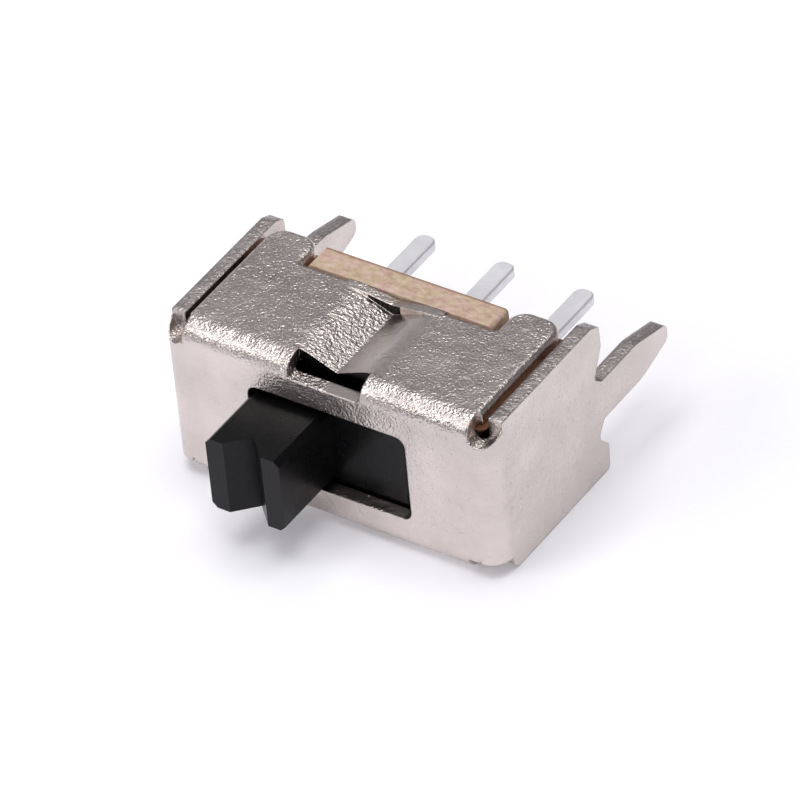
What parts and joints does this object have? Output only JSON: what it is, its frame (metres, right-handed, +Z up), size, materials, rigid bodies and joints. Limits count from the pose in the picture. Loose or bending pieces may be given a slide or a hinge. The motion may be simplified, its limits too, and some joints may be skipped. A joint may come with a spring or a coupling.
{
  "type": "slide switch",
  "caption": "Miniature slide switch in a folded sheet-metal shell, with a grooved knob in a slot, straight through-board terminals and a board leg at each end.",
  "frame": {"origin": "middle of the outer face of the lower flap, which the switch lies on", "axes": "+X along the slot, in the direction that the knob slides; +Y from the knob to the terminals; +Z up, from the lower flap to the upper"},
  "size_m": [0.0086, 0.0091, 0.0043],
  "materials": {
    "nickel_plated_steel": "satin nickel plating on cold-rolled steel sheet",
    "phenolic_board": "sawn and punched phenolic paper laminate",
    "silvered_brass": "bright silver plating on brass strip",
    "black_moulding": "fine matt moulded black plastic",
    "spring_bronze": "bare phosphor bronze strip"
  },
  "bodies": {
    "housing": {"shell": "nickel_plated_steel", "base_board": "phenolic_board", "terminal_1": "silvered_brass", "terminal_2": "silvered_brass", "terminal_3": "silvered_brass"},
    "slide": {"slider": "black_moulding", "contact_clip": "spring_bronze"}
  },
  "joints": [
    {"name": "knob_slide", "type": "slide", "parent": "housing", "child": "slide", "axis": [1, 0, 0], "range_m": [0, 0.0021]}
  ]
}
